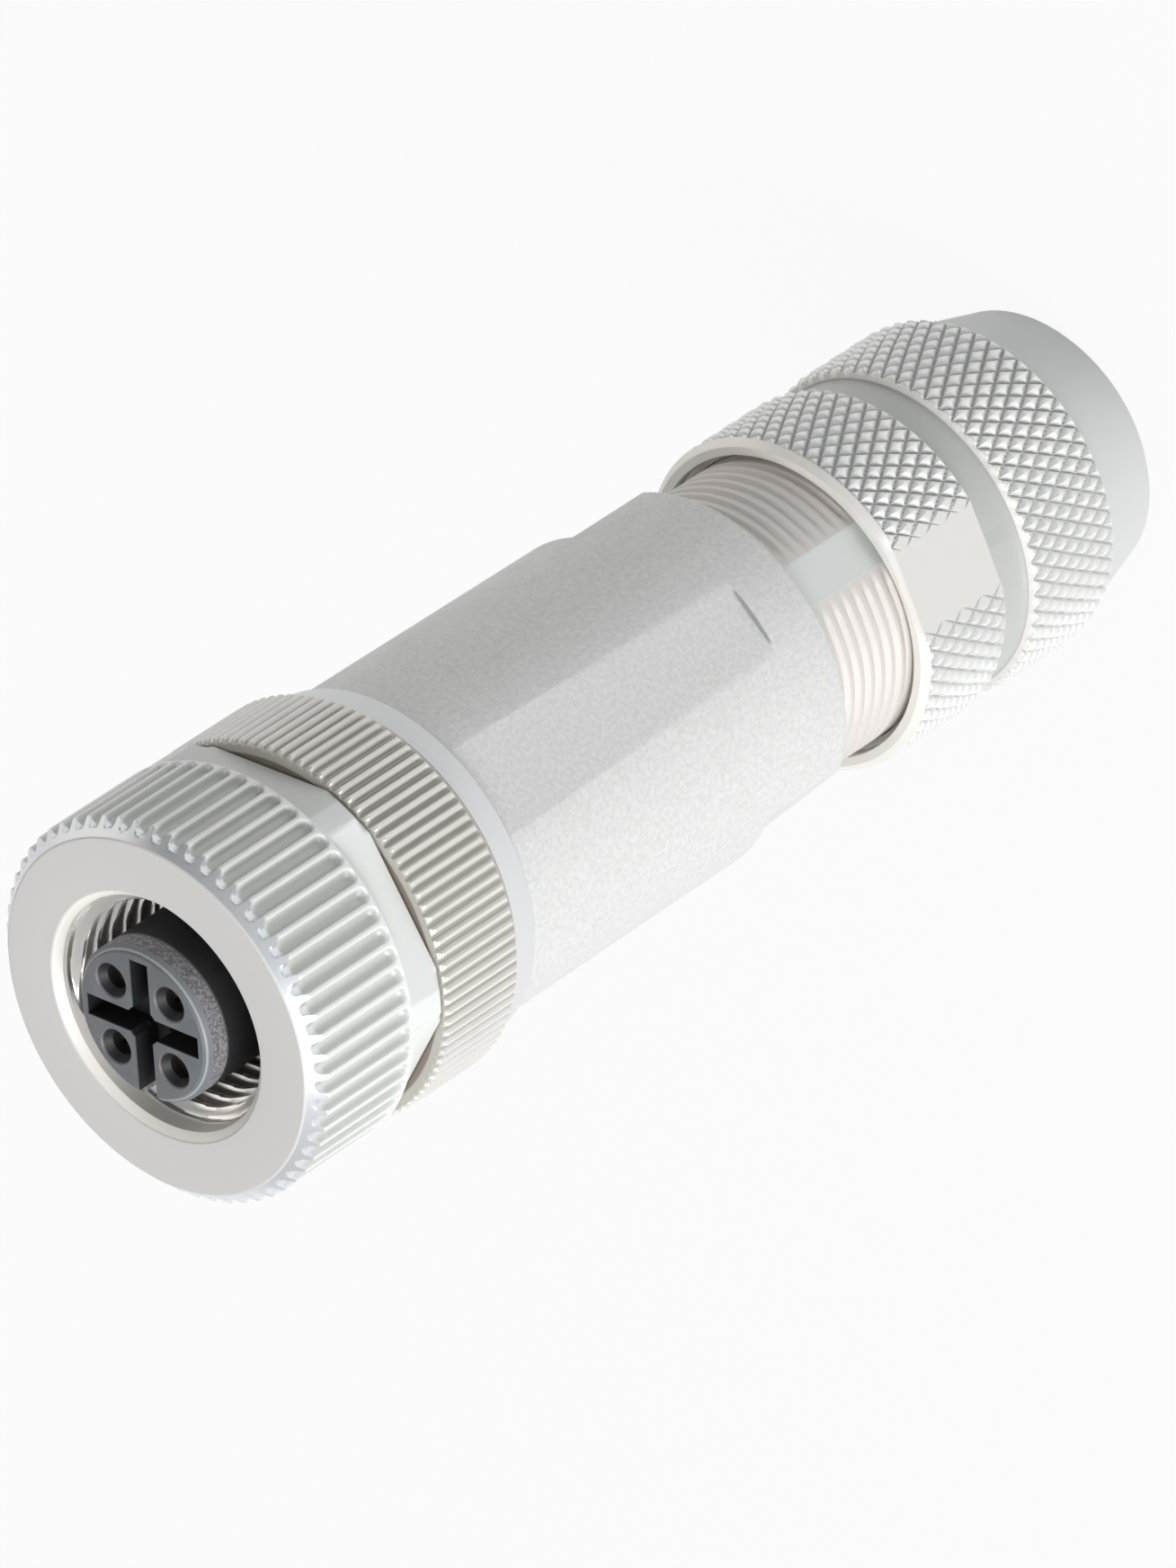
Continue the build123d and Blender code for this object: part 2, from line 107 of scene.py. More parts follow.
# Sizes of the housing
fine_pitch = 0.75 * MM
neck_crest = 7.6 * MM
neck_thread_top = SHOULDER - 0.6 * MM
housing_front = 8.9 * MM
housing_rear = 8.75 * MM
grip_distance = 8.55 * MM
wrench_distance = 8.06 * MM
land_half = math.radians(8.5)
land_distance = neck_crest * math.cos(land_half)
mouth_r = 7.8 * MM
front_bore = 7.55 * MM
chamber_r = 6.6 * MM
chamber_top = HOUSING_TOP - 9.0 * MM
gland_bore = 6.3 * MM
gland_top = NECK_END + 9.2 * MM
gland_wall = 1.8 * MM
gland_hole = 4.6 * MM

# Sizes of the pressing nut
knurl_starts = 60
knurl_periods = 4
knurl_deep = 0.34 * MM
nut_crest = 8.8 * MM
nut_cone = 8.3 * MM
nut_groove = 8.2 * MM
nut_flat = 8.225 * MM
nut_flat_turn = math.radians(-22.2)
nut_rear = 7.05 * MM
nut_bevel = 0.3 * MM
nut_mouth = 7.95 * MM
nut_bore = 6.45 * MM
nut_bore_top = 6.0 * MM
nut_end_wall = 2.4 * MM
cable_bore = 4.3 * MM
cable_edge = 0.4 * MM
band_rear = (4.9 * MM, 10.8 * MM)
band_front = (13.0 * MM, 18.7 * MM)

# Colours used more than once
painted_shade_brown = (0.30, 0.25, 0.21)
cream = (0.95, 0.93, 0.89)
knurl_valley_shade = (0.60, 0.62, 0.605)
painted_shade_black = (0.012, 0.012, 0.014)


# Mesh building

def spread(count):
    """Evenly spread angles round the axis."""
    return np.arange(count) * TAU / count


def smooth_step(value, low, high):
    """0 below low, 1 above high, and a smooth rise between."""
    share = np.clip((value - low) / (high - low), 0.0, 1.0)
    return share * share * (3 - 2 * share)


def rounded(points, steps=4):
    """Outline of (radius, height) points. A corner that gives a third number is rounded to that radius."""
    out = []
    count = len(points)
    for index, point in enumerate(points):
        here = np.array(point[:2], float)
        if len(point) < 3 or point[2] <= 0:
            out.append(here)
            continue
        before = np.array(points[index - 1][:2], float) - here
        after = np.array(points[(index + 1) % count][:2], float) - here
        length_a = np.linalg.norm(before)
        length_b = np.linalg.norm(after)
        before /= length_a
        after /= length_b
        angle = math.acos(float(np.clip(before @ after, -1, 1)))
        reach = min(point[2] / math.tan(angle / 2), 0.48 * length_a, 0.48 * length_b)
        start = here + before * reach
        end = here + after * reach
        for step in range(steps + 1):
            share = step / steps
            out.append((1 - share) ** 2 * start + 2 * share * (1 - share) * here + share ** 2 * end)
    return out


def divided(outline, low, high, step):
    """Adds points between two neighbours that rise and that both lie between low and high in height."""
    out = []
    count = len(outline)
    for index, here in enumerate(outline):
        after = outline[(index + 1) % count]
        out.append(here)
        top = max(here[1], after[1])
        bottom = min(here[1], after[1])
        within = bottom >= low - 1e-9 and top <= high + 1e-9
        if within and after[1] > here[1] and top - bottom > step:
            pieces = int(math.ceil((top - bottom) / step))
            for part in range(1, pieces):
                out.append(here + (after - here) * part / pieces)
    return out


def ring_mesh(name, rows, smooth_angle=32.0):
    """Closed ring from rows round the axis, each (angles, radii, heights). The last row joins the first."""
    points = []
    starts = []
    counts = []
    total = 0
    for angles, radii, heights in rows:
        count = len(angles)
        radii = np.broadcast_to(radii, (count,))
        heights = np.broadcast_to(heights, (count,))
        points.append(np.stack([radii * np.cos(angles), radii * np.sin(angles), heights], 1))
        starts.append(total)
        counts.append(count)
        total += count
    points = np.concatenate(points)
    reach = np.hypot(points[:, 0], points[:, 1])
    faces = []
    for index in range(len(rows)):
        other = (index + 1) % len(rows)
        low, high = starts[index], starts[other]
        count_a, count_b = counts[index], counts[other]
        if count_a == count_b:
            step = np.arange(count_a)
            after = (step + 1) % count_a
            a, b, c, d = low + step, low + after, high + after, high + step
            plain = np.abs(reach[a] - reach[c]) <= np.abs(reach[b] - reach[d])
            flat = (np.abs(reach[a] - reach[b]) < 1e-8) & (np.abs(reach[c] - reach[d]) < 1e-8)
            faces += np.stack([a, b, c, d], 1)[flat].tolist()
            one_way = plain & ~flat
            faces += np.stack([a, b, c], 1)[one_way].tolist()
            faces += np.stack([a, c, d], 1)[one_way].tolist()
            other_way = ~plain & ~flat
            faces += np.stack([a, b, d], 1)[other_way].tolist()
            faces += np.stack([b, c, d], 1)[other_way].tolist()
        elif count_a > count_b:
            ratio = count_a // count_b
            for step in range(count_b):
                fine = [low + (step * ratio + k) % count_a for k in range(ratio + 1)]
                faces.append(fine + [high + (step + 1) % count_b, high + step])
        else:
            ratio = count_b // count_a
            for step in range(count_a):
                fine = [high + (step * ratio + k) % count_b for k in range(ratio + 1)]
                faces.append([low + step, low + (step + 1) % count_a] + fine[::-1])
    return finish_mesh(name, points, faces, smooth_angle)


def finish_mesh(name, points, faces, smooth_angle):
    """Makes the object, shaded smooth apart from edges sharper than the given angle."""
    mesh = bpy.data.meshes.new(name)
    mesh.from_pydata(np.asarray(points).tolist(), [], faces)
    mesh.validate()
    mesh.polygons.foreach_set("use_smooth", [True] * len(mesh.polygons))
    mesh.set_sharp_from_angle(angle=math.radians(smooth_angle))
    piece = bpy.data.objects.new(name, mesh)
    bpy.context.scene.collection.objects.link(piece)
    return piece


def thread_depth(height, angles, pitch, crest_share=0.16, root_share=0.26):
    """0 at the crest and 1 at the root of a right-hand thread."""
    turn = np.mod(height / pitch - angles / TAU, 1.0)
    away = np.abs(turn - 0.5) * 2
    return 1 - smooth_step(away, root_share, 1 - crest_share)


# Materials

def material(name, colour, metallic, roughness):
    """New node material; returns it with its nodes, its links and its main shader."""
    made = bpy.data.materials.new(name)
    made.use_nodes = True
    nodes = made.node_tree.nodes
    shader = nodes["Principled BSDF"]
    shader.inputs["Base Color"].default_value = (*colour, 1)
    shader.inputs["Metallic"].default_value = metallic
    shader.inputs["Roughness"].default_value = roughness
    return made, nodes, made.node_tree.links, shader


def noise(nodes, links, scale, detail=3.0, roughness=0.55):
    """Noise in the object's own coordinates, in cycles a metre."""
    coords = nodes.new("ShaderNodeTexCoord")
    texture = nodes.new("ShaderNodeTexNoise")
    texture.inputs["Scale"].default_value = scale
    texture.inputs["Detail"].default_value = detail
    texture.inputs["Roughness"].default_value = roughness
    links.new(coords.outputs["Object"], texture.inputs["Vector"])
    return texture.outputs["Fac"]


def spread_to(nodes, links, source, low, high):
    """Maps the usual span of a noise, 0.3 to 0.7, to a range."""
    ranged = nodes.new("ShaderNodeMapRange")
    ranged.inputs["From Min"].default_value = 0.3
    ranged.inputs["From Max"].default_value = 0.7
    ranged.inputs["To Min"].default_value = low
    ranged.inputs["To Max"].default_value = high
    links.new(source, ranged.inputs["Value"])
    return ranged.outputs["Result"]


def bump(nodes, links, shader, source, distance, before=None):
    """Bump from a grey value, in metres; returns the normal so that more can be added."""
    made = nodes.new("ShaderNodeBump")
    made.inputs["Distance"].default_value = distance
    made.inputs["Strength"].default_value = 1.0
    links.new(source, made.inputs["Height"])
    if before is not None:
        links.new(before, made.inputs["Normal"])
    links.new(made.outputs["Normal"], shader.inputs["Normal"])
    return made.outputs["Normal"]


def tinted(nodes, links, shader, source, colour_a, colour_b):
    """Base colour that varies between two close tones."""
    ramp = nodes.new("ShaderNodeValToRGB")
    ramp.color_ramp.elements[0].position = 0.35
    ramp.color_ramp.elements[0].color = (*colour_a, 1)
    ramp.color_ramp.elements[1].position = 0.65
    ramp.color_ramp.elements[1].color = (*colour_b, 1)
    links.new(source, ramp.inputs["Fac"])
    links.new(ramp.outputs["Color"], shader.inputs["Base Color"])


def place(nodes, links):
    """Distance from the axis and height, in the object's own coordinates."""
    coords = nodes.new("ShaderNodeTexCoord")
    parts = nodes.new("ShaderNodeSeparateXYZ")
    flat = nodes.new("ShaderNodeCombineXYZ")
    length = nodes.new("ShaderNodeVectorMath")
    length.operation = "LENGTH"
    links.new(coords.outputs["Object"], parts.inputs["Vector"])
    links.new(parts.outputs["X"], flat.inputs["X"])
    links.new(parts.outputs["Y"], flat.inputs["Y"])
    links.new(flat.outputs["Vector"], length.inputs[0])
    return length.outputs["Value"], parts.outputs["Z"]


def sideways(nodes, links, angle):
    """Distance to either side of the axis, measured along a level direction at this angle from +X."""
    coords = nodes.new("ShaderNodeTexCoord")
    along = nodes.new("ShaderNodeVectorMath")
    along.operation = "DOT_PRODUCT"
    along.inputs[1].default_value = (math.cos(angle), math.sin(angle), 0)
    size = nodes.new("ShaderNodeMath")
    size.operation = "ABSOLUTE"
    links.new(coords.outputs["Object"], along.inputs[0])
    links.new(along.outputs["Value"], size.inputs[0])
    return size.outputs["Value"]


def ramp_up(nodes, links, source, low, high):
    """0 below low, 1 above high, or the reverse when low is the larger."""
    ranged = nodes.new("ShaderNodeMapRange")
    ranged.interpolation_type = "SMOOTHSTEP"
    ranged.inputs["From Min"].default_value = min(low, high)
    ranged.inputs["From Max"].default_value = max(low, high)
    ranged.inputs["To Min"].default_value = 0.0 if high > low else 1.0
    ranged.inputs["To Max"].default_value = 1.0 if high > low else 0.0
    links.new(source, ranged.inputs["Value"])
    return ranged.outputs["Result"]


def product(nodes, links, *masks):
    """1 where all the masks are 1."""
    result = masks[0]
    for mask in masks[1:]:
        times = nodes.new("ShaderNodeMath")
        times.operation = "MULTIPLY"
        links.new(result, times.inputs[0])
        links.new(mask, times.inputs[1])
        result = times.outputs["Value"]
    return result


def between(nodes, links, source, low, high, blur):
    """1 between low and high, with both ends blurred by a distance to either side."""
    return product(nodes, links, ramp_up(nodes, links, source, low - blur, low + blur),
                   ramp_up(nodes, links, source, high + blur, high - blur))


def zone(nodes, links, shader, mask, colour, metallic, roughness):
    """Another finish where the mask is 1."""
    for name, value in (("Base Color", colour), ("Metallic", metallic), ("Roughness", roughness)):
        socket = shader.inputs[name]
        mix = nodes.new("ShaderNodeMix")
        mix.data_type = "RGBA" if name == "Base Color" else "FLOAT"
        first, second, result = (6, 7, 2) if name == "Base Color" else (2, 3, 0)
        if socket.is_linked:
            links.new(socket.links[0].from_socket, mix.inputs[first])
        else:
            mix.inputs[first].default_value = socket.default_value
        mix.inputs[second].default_value = (*value, 1) if name == "Base Color" else value
        links.new(mask, mix.inputs[0])
        links.new(mix.outputs[result], socket)


def plated(name, tone_a, tone_b, rough_low, rough_high, grain, metallic=1.0):
    """Nickel plate with a faint mottled tone, uneven gloss and a fine grain."""
    made, nodes, links, shader = material(name, tone_a, metallic, rough_low)
    cloud = noise(nodes, links, 260.0, 4.0)
    tinted(nodes, links, shader, cloud, tone_a, tone_b)
    links.new(spread_to(nodes, links, noise(nodes, links, 900.0, 4.0), rough_low, rough_high),
              shader.inputs["Roughness"])
    bump(nodes, links, shader, noise(nodes, links, 5200.0, 2.0, 0.5), grain)
    return made, nodes, links, shader


def ring_finish():
    """Coupling ring: matt face, bright ribs over flutes whose greyer floors are painted shade, a chamfer
    whose bluish tint is a painted reflection, cream lead-in and a shiny thread.
    """
    made, nodes, links, shader = plated("ring_nickel", (0.83, 0.835, 0.83), (0.88, 0.88, 0.875), 0.34, 0.44,
                                        2.0e-6, 0.28)
    radius, height = place(nodes, links)
    outside = ramp_up(nodes, links, radius, hex_flat - 0.35 * MM, hex_flat - 0.05 * MM)
    chamfer_low = RING_FRONT - ring_chamfer
    # Painted shade: the flute floors and walls get a darker grey-green than the ribs, for the shade inside
    # the flutes.
    floor = product(nodes, links, outside,
                    ramp_up(nodes, links, height, HEX_TOP - 0.05 * MM, HEX_TOP + 0.05 * MM),
                    ramp_up(nodes, links, height, RING_FRONT - 0.25 * MM, chamfer_low - 0.05 * MM),
                    ramp_up(nodes, links, radius, ring_crest - 0.07 * MM, ring_crest - 0.28 * MM))
    zone(nodes, links, shader, floor, (0.66, 0.69, 0.66), 0.20, 0.42)
    hexagon = product(nodes, links, outside,
                      ramp_up(nodes, links, height, HEX_TOP + 0.04 * MM, HEX_TOP - 0.02 * MM))
    zone(nodes, links, shader, hexagon, (0.83, 0.85, 0.84), 0.08, 0.42)
    # Painted reflection: the chamfer's bluish tint. Its higher gloss is the finish.
    chamfer = product(nodes, links, outside,
                      ramp_up(nodes, links, height, chamfer_low - 0.01 * MM, chamfer_low + 0.09 * MM))
    zone(nodes, links, shader, chamfer, (0.78, 0.81, 0.84), 0.75, 0.30)
    face = ramp_up(nodes, links, height, RING_FRONT - 0.10 * MM, RING_FRONT - 0.03 * MM)
    zone(nodes, links, shader, face, (0.64, 0.635, 0.62), 0.12, 0.60)
    lead_edge = lead_r + lead_bevel
    lead_in = ramp_up(nodes, links, radius, lead_edge - 0.02 * MM, lead_edge - 0.12 * MM)
    zone(nodes, links, shader, lead_in, (0.93, 0.90, 0.85), 0.08, 0.40)
    thread = product(nodes, links, ramp_up(nodes, links, radius, lead_r - 0.02 * MM, m12_major + 0.04 * MM),
                     ramp_up(nodes, links, height, m12_top + 0.1 * MM, m12_top))
    zone(nodes, links, shader, thread, (0.95, 0.94, 0.91), 0.85, 0.20)
    return made


def carrier_finish():
    """Carrier: bright teeth over beige-grey grooves that are painted shade, a bluish-white collar, brownish
    painted shade in the crease at the collar, and the ring's painted shadow on the front face.
    """
    made, nodes, links, shader = plated("carrier_nickel", (0.80, 0.79, 0.76), (0.85, 0.84, 0.81), 0.34, 0.44,
                                        2.0e-6, 0.40)
    radius, height = place(nodes, links)
    # Painted shade: the groove floors between the teeth are a darker beige-grey.
    floor = product(nodes, links,
                    ramp_up(nodes, links, height, COLLAR_TOP + 0.1 * MM, COLLAR_TOP + 0.4 * MM),
                    ramp_up(nodes, links, radius, carrier_crest - 0.07 * MM, carrier_crest - 0.25 * MM),
                    ramp_up(nodes, links, radius, collar_r - 0.05 * MM, collar_r + 0.15 * MM))
    zone(nodes, links, shader, floor, (0.56, 0.55, 0.50), 0.30, 0.45)
    collar = ramp_up(nodes, links, height, COLLAR_TOP - 0.02 * MM, COLLAR_TOP - 0.08 * MM)
    zone(nodes, links, shader, collar, (0.74, 0.755, 0.76), 0.45, 0.34)
    # Painted shade: a thin dark stripe in the crease where the teeth meet the collar.
    line = product(nodes, links, ramp_up(nodes, links, height, COLLAR_TOP - 0.05 * MM, COLLAR_TOP),
                   ramp_up(nodes, links, height, COLLAR_TOP + 0.14 * MM, COLLAR_TOP + 0.05 * MM))
    zone(nodes, links, shader, line, painted_shade_brown, 0.2, 0.5)
    # Painted shadow: the coupling ring's shadow on the inner part of the carrier's front face, in the gap
    # between them.
    face = product(nodes, links,
                   ramp_up(nodes, links, height, CARRIER_FACE - 0.04 * MM, CARRIER_FACE - 0.01 * MM),
                   ramp_up(nodes, links, radius, collar_r + 0.13 * MM, collar_r + 0.01 * MM))
    zone(nodes, links, shader, face, painted_shade_brown, 0.4, 0.5)
    return made


def housing_finish():
    """Blasted and plated casting, fine even grain and nearly matt, with a warmer machined neck and a thin
    painted shade line where the grip flats end.
    """
    made, nodes, links, shader = material("housing_nickel", (0.78, 0.80, 0.79), 0.20, 0.5)
    tinted(nodes, links, shader, noise(nodes, links, 4200.0, 3.0, 0.6), (0.70, 0.71, 0.70),
           (0.80, 0.805, 0.80))
    links.new(spread_to(nodes, links, noise(nodes, links, 700.0, 3.0), 0.44, 0.54),
              shader.inputs["Roughness"])
    coarse = bump(nodes, links, shader, noise(nodes, links, 2600.0, 2.0), 7e-6)
    bump(nodes, links, shader, noise(nodes, links, 8000.0, 2.0), 6e-6, before=coarse)
    height = place(nodes, links)[1]
    neck = ramp_up(nodes, links, height, SHOULDER + 0.02 * MM, SHOULDER - 0.05 * MM)
    zone(nodes, links, shader, neck, (0.77, 0.745, 0.72), 0.60, 0.75)
    land = product(nodes, links, neck,
                   ramp_up(nodes, links, sideways(nodes, links, 0), land_distance - 0.0165 * MM,
                           land_distance - 0.0045 * MM))
    zone(nodes, links, shader, land, (0.74, 0.78, 0.765), 0.30, 0.42)
    # Painted shade: a thin dark line in the crease at the step where each grip flat ends.
    line = product(nodes, links,
                   between(nodes, links, height, GRIP_LOW - 0.035 * MM, GRIP_LOW + 0.035 * MM, 0.01 * MM),
                   ramp_up(nodes, links, sideways(nodes, links, math.pi / 2), 1.75 * MM, 1.3 * MM))
    zone(nodes, links, shader, line, (0.36, 0.37, 0.37), 0.2, 0.5)
    joint = ramp_up(nodes, links, height, HOUSING_TOP - 0.18 * MM, HOUSING_TOP - 0.10 * MM)
    zone(nodes, links, shader, joint, (0.40, 0.38, 0.36), 0.2, 0.5)
    return made


def nut_finish():
    """Pressing nut: bright diamond tips over greyer grooves that are painted shade, a painted highlight at
    the rear band's end by the groove, satin cone and flats, cream rim.
    """
    made, nodes, links, shader = plated("nut_nickel", (0.86, 0.865, 0.86), (0.90, 0.90, 0.895), 0.32, 0.42,
                                        2.0e-6, 0.55)
    radius, height = place(nodes, links)
    low_band = between(nodes, links, height, *band_rear, 0.05 * MM)
    high_band = between(nodes, links, height, *band_front, 0.05 * MM)
    # Painted shade: the knurl valleys get a darker grey than the diamond tips.
    floor = product(nodes, links,
                    ramp_up(nodes, links, radius, nut_crest - 0.16 * MM, nut_crest - 0.32 * MM),
                    ramp_up(nodes, links, radius, nut_groove + 0.05 * MM, nut_groove + 0.10 * MM))
    reach = sideways(nodes, links, nut_flat_turn)
    flat_low = nut_flat - 0.020 * MM
    flat_high = nut_flat - 0.005 * MM
    off_flat = ramp_up(nodes, links, reach, flat_high, flat_low)
    zone(nodes, links, shader, product(nodes, links, low_band, floor), knurl_valley_shade, 0.20, 0.40)
    zone(nodes, links, shader, product(nodes, links, high_band, floor, off_flat), knurl_valley_shade, 0.20, 0.40)
    groove = product(nodes, links, ramp_up(nodes, links, height, band_rear[1], band_rear[1] + 0.1 * MM),
                     ramp_up(nodes, links, height, band_front[0] - 0.02 * MM, band_front[0] - 0.08 * MM))
    zone(nodes, links, shader, groove, (0.56, 0.575, 0.565), 0.20, 0.36)
    # Painted highlight: a cream stripe on the rear band's chamfered end next to the groove.
    edge = product(nodes, links,
                   ramp_up(nodes, links, height, band_rear[1] - 0.10 * MM, band_rear[1] - 0.06 * MM),
                   ramp_up(nodes, links, height, band_rear[1] + 0.12 * MM, band_rear[1] + 0.06 * MM),
                   ramp_up(nodes, links, radius, nut_groove + 0.02 * MM, nut_groove + 0.10 * MM))
    zone(nodes, links, shader, edge, cream, 0.35, 0.40)
    flat = product(nodes, links, high_band, ramp_up(nodes, links, reach, flat_low, flat_high))
    zone(nodes, links, shader, flat, (0.79, 0.785, 0.75), 0.35, 0.40)
    rim = product(nodes, links,
                  ramp_up(nodes, links, height, band_front[1] + 0.02 * MM, band_front[1] + 0.10 * MM),
                  ramp_up(nodes, links, radius, neck_crest + 0.1 * MM, neck_crest + 0.2 * MM))
    zone(nodes, links, shader, rim, cream, 0.35, 0.40)
    cone = ramp_up(nodes, links, height, band_rear[0] - 0.05 * MM, band_rear[0] - 0.15 * MM)
    zone(nodes, links, shader, cone, (0.74, 0.76, 0.75), 0.15, 0.46)
    return made


def insert_finish():
    """Moulded insert: grey face, a pale painted highlight at the rim, a lighter textured grey band below it
    that is painted light, and sides and wells painted black for shade.
    """
    made, nodes, links, shader = moulded("insert_plastic", (0.135, 0.145, 0.155), (0.165, 0.175, 0.185),
                                         0.42, 0.52)
    radius, height = place(nodes, links)
    face_z = insert_high.z
    nose_edge = ramp_up(nodes, links, radius, 3.8 * MM, 3.9 * MM)
    # Painted shade: the sides below the face are black, for the shade deeper in the opening.
    sides = product(nodes, links, ramp_up(nodes, links, height, face_z - 1.25 * MM, face_z - 1.45 * MM),
                    ramp_up(nodes, links, radius, 3.3 * MM, 3.5 * MM))
    zone(nodes, links, shader, sides, painted_shade_black, 0.0, 0.5)
    # Painted light: the lighter, noise-mottled grey band on the sides just below the rim, where they stand
    # out into the light.
    band = product(nodes, links, nose_edge,
                   ramp_up(nodes, links, height, face_z - 1.35 * MM, face_z - 1.2 * MM),
                   ramp_up(nodes, links, height, face_z - 0.3 * MM, face_z - 0.45 * MM),
                   ramp_up(nodes, links, noise(nodes, links, 6500.0, 2.0), 0.46, 0.56))
    zone(nodes, links, shader, band, (0.33, 0.31, 0.33), 0.0, 0.55)
    # Painted highlight: a pale blue-grey stripe along the edge of the face.
    rim = product(nodes, links, nose_edge,
                  ramp_up(nodes, links, height, face_z - 0.22 * MM, face_z - 0.12 * MM),
                  ramp_up(nodes, links, height, face_z - 0.01 * MM, face_z - 0.04 * MM))
    zone(nodes, links, shader, rim, (0.36, 0.41, 0.44), 0.0, 0.40)
    # Painted shade: the contact entries below the face are black.
    wells = product(nodes, links, ramp_up(nodes, links, height, face_z - 0.03 * MM, face_z - 0.12 * MM),
                    ramp_up(nodes, links, radius, 3.86 * MM, 3.80 * MM))
    zone(nodes, links, shader, wells, painted_shade_black, 0.0, 0.55)
    return made


def moulded(name, tone_a, tone_b, rough_low, rough_high):
    """Moulded plastic with a fine spark-eroded grain."""
    made, nodes, links, shader = material(name, tone_a, 0.0, rough_low)
    tinted(nodes, links, shader, noise(nodes, links, 700.0, 4.0), tone_a, tone_b)
    links.new(spread_to(nodes, links, noise(nodes, links, 1500.0, 3.0), rough_low, rough_high),
              shader.inputs["Roughness"])
    bump(nodes, links, shader, noise(nodes, links, 6500.0, 2.0), 4e-6)
    return made, nodes, links, shader


def build_materials():
    """One finish for each slot that the small pieces use, and one for each of the five large pieces."""
    made = {
        "coupling_ring": ring_finish(),
        "carrier_sleeve": carrier_finish(),
        "housing": housing_finish(),
        "pressing_nut": nut_finish(),
        "contact_insert": insert_finish(),
    }
    for slot, tone_a, tone_b, rough_low, rough_high, grain in (
            ("warm_nickel", (0.73, 0.72, 0.68), (0.80, 0.79, 0.76), 0.24, 0.34, 2.5e-6),
            ("gold_contact", (0.80, 0.60, 0.28), (0.86, 0.68, 0.36), 0.22, 0.32, 1.5e-6),
            ("spring_steel", (0.50, 0.50, 0.51), (0.60, 0.60, 0.61), 0.28, 0.40, 2.5e-6)):
        made[slot] = plated(slot, tone_a, tone_b, rough_low, rough_high, grain)[0]
    for slot, tone_a, tone_b, rough_low, rough_high in (
            ("black_plastic", (0.020, 0.021, 0.023), (0.030, 0.031, 0.034), 0.42, 0.55),
            ("grey_plastic", (0.40, 0.41, 0.42), (0.46, 0.47, 0.48), 0.40, 0.50),
            ("seal_rubber", (0.020, 0.020, 0.021), (0.030, 0.030, 0.031), 0.55, 0.68),
            ("gasket_rubber", (0.050, 0.050, 0.052), (0.070, 0.070, 0.072), 0.58, 0.70)):
        made[slot] = moulded(slot, tone_a, tone_b, rough_low, rough_high)[0]
    return made


finishes = build_materials()


def finish_nodes():
    """Gives every CAD node its own finish, or that of its slot."""
    for part in frame["record"]["subparts"]:
        node = frame["nodes"][part["node"]]
        own = finishes.get(part["node"])
        node.data.materials.clear()
        node.data.materials.append(own or finishes[part["material_slot"]])


def dress(piece, node, body):
    """Finishes a piece, lets it stand for its node and ride on its body."""
    piece.data.materials.append(finishes[node])
    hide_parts(node)
    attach(piece, body)


finish_nodes()


# Coupling ring

def flute_columns():
    """Angles round the ring, closer together at the sides of each flute."""
    across = np.array([0.0, 0.09, 0.17, 0.24, 0.295, 0.335, 0.365, 0.385, 0.42, 0.465]) * MM / ring_crest
    pitch = TAU / flute_count
    one = np.concatenate([-across[:0:-1], across, [pitch / 2]])
    return (np.arange(flute_count)[:, None] * pitch + one[None, :]).ravel()


def hex_reach(angles):
    """Distance from the axis to the hexagon's sides."""
    from_flat = np.mod(angles - hex_turn + math.pi / 6, math.pi / 3) - math.pi / 6
    return hex_flat / np.cos(from_flat)


def ring_radii(angles, radius, height):
    """Outer radius of the coupling ring with its flutes and hexagon."""
    pitch = TAU / flute_count
    across = (np.mod(angles + pitch / 2, pitch) - pitch / 2) * ring_crest
    end_centre = HEX_TOP + 0.1 * MM + flute_half
    away = np.hypot(across, np.maximum(0.0, end_centre - height))
    share = np.clip(away / flute_half, 0, 1)
    depth = flute_deep * (1 - share ** 2.6) ** (1 / 2.2)
    edge = 0.05 * MM * (1 - smooth_step(away, flute_half, flute_half + 0.09 * MM))
    fluted = ring_crest - np.maximum(depth, edge)
    outer = np.minimum(radius, fluted)
    if height < HEX_TOP - 1e-7:
        outer = np.minimum(outer, hex_reach(angles))
    return outer


def m12_radii(angles, height):
    """Inner radius of the M12 thread, whose first turn rises out of the lead-in over an eighth of a turn."""
    behind = np.mod((m12_start - angles) / TAU, 1.0)
    top = m12_top - m12_pitch * behind
    phase = m12_start + TAU * (0.5 - m12_top / m12_pitch)
    grown = np.where(height > top - m12_pitch, smooth_step(behind, 0.0, 0.12), 1.0)
    ridge = np.where(height > top, 0.0, 1 - thread_depth(height, angles - phase, m12_pitch))
    root = lead_r - (lead_r - m12_major) * grown * (1 - smooth_step(height, top, top + 0.15 * MM))
    return root - (m12_major - m12_minor) * ridge * grown


